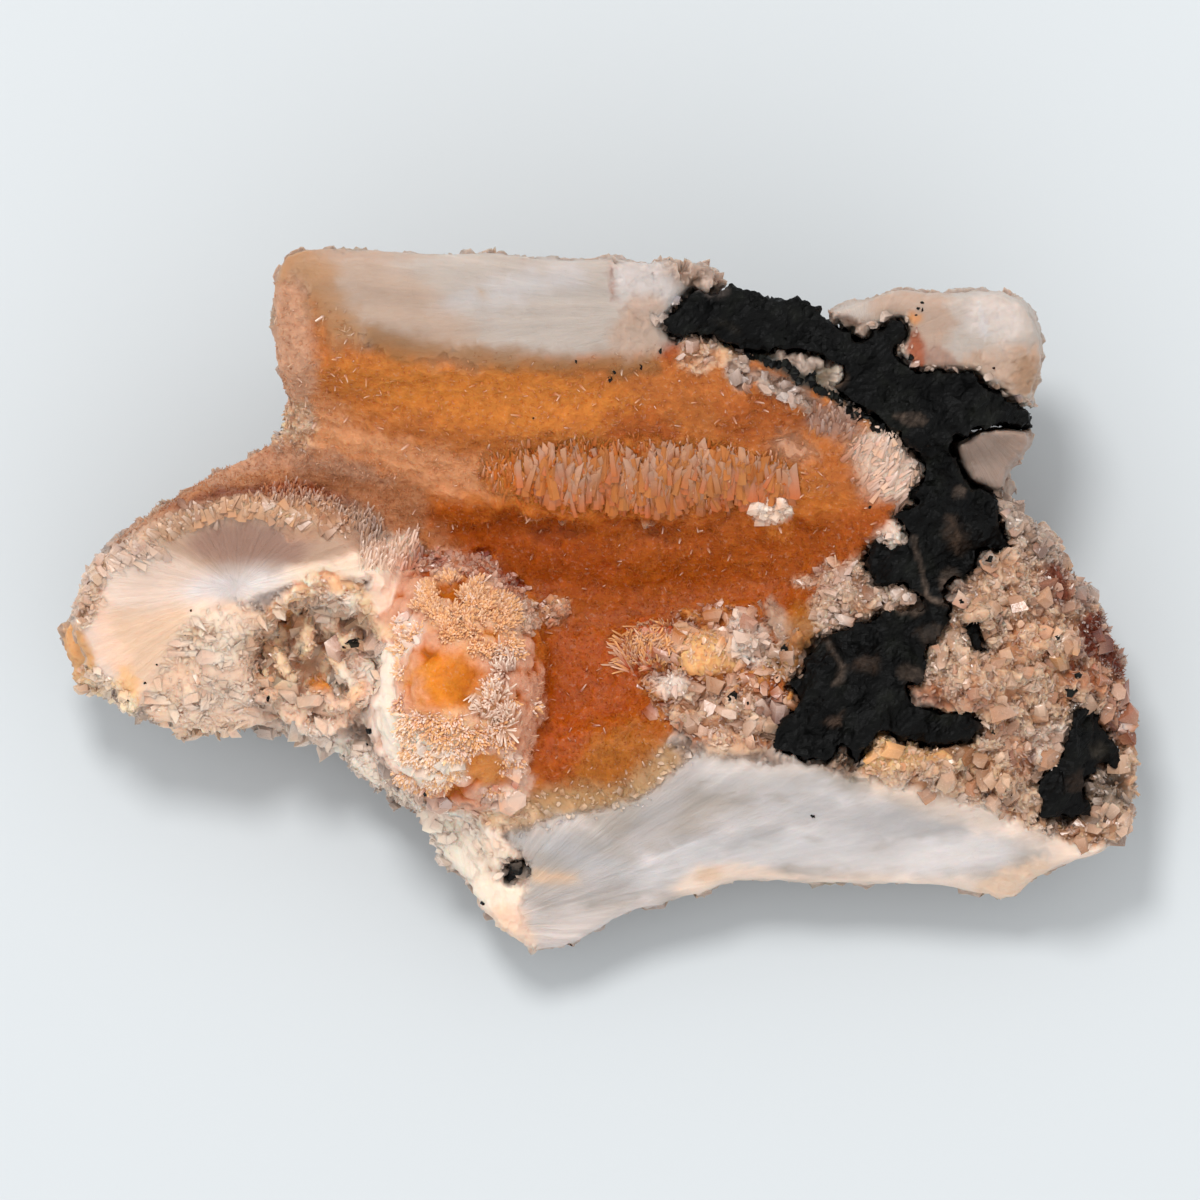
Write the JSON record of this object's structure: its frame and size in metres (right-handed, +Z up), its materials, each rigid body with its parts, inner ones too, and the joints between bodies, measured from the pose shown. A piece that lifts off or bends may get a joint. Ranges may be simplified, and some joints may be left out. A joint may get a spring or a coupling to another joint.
{
  "type": "thomsonite specimen",
  "caption": "Broken zeolite specimen with an orange velvet valley, silky white broken faces, radiating balls, blocky pink crystals and a vein of black basalt.",
  "frame": {"origin": "under the middle of the bounding box, on the surface that the specimen rests on", "axes": "+X along its length to the pink crystal field, +Y to the back of the white slab, +Z up as it rests"},
  "size_m": [0.0898, 0.0586, 0.0335],
  "materials": {
    "thomsonite": "velvet of fine orange needles, with silky white broken faces and glassy pink crystals",
    "white_thomsonite": "smooth, waxy white to pink",
    "pale_crystal": "glassy pale blades",
    "basalt": "rough, dull black"
  },
  "bodies": {
    "root": {"thomsonite_mass": "thomsonite", "white_lump": "white_thomsonite", "pocket_crystals": "pale_crystal", "basalt_vein": "basalt", "basalt_patch_right": "basalt", "basalt_chip_right": "basalt", "basalt_chip_front": "basalt"}
  },
  "joints": []
}
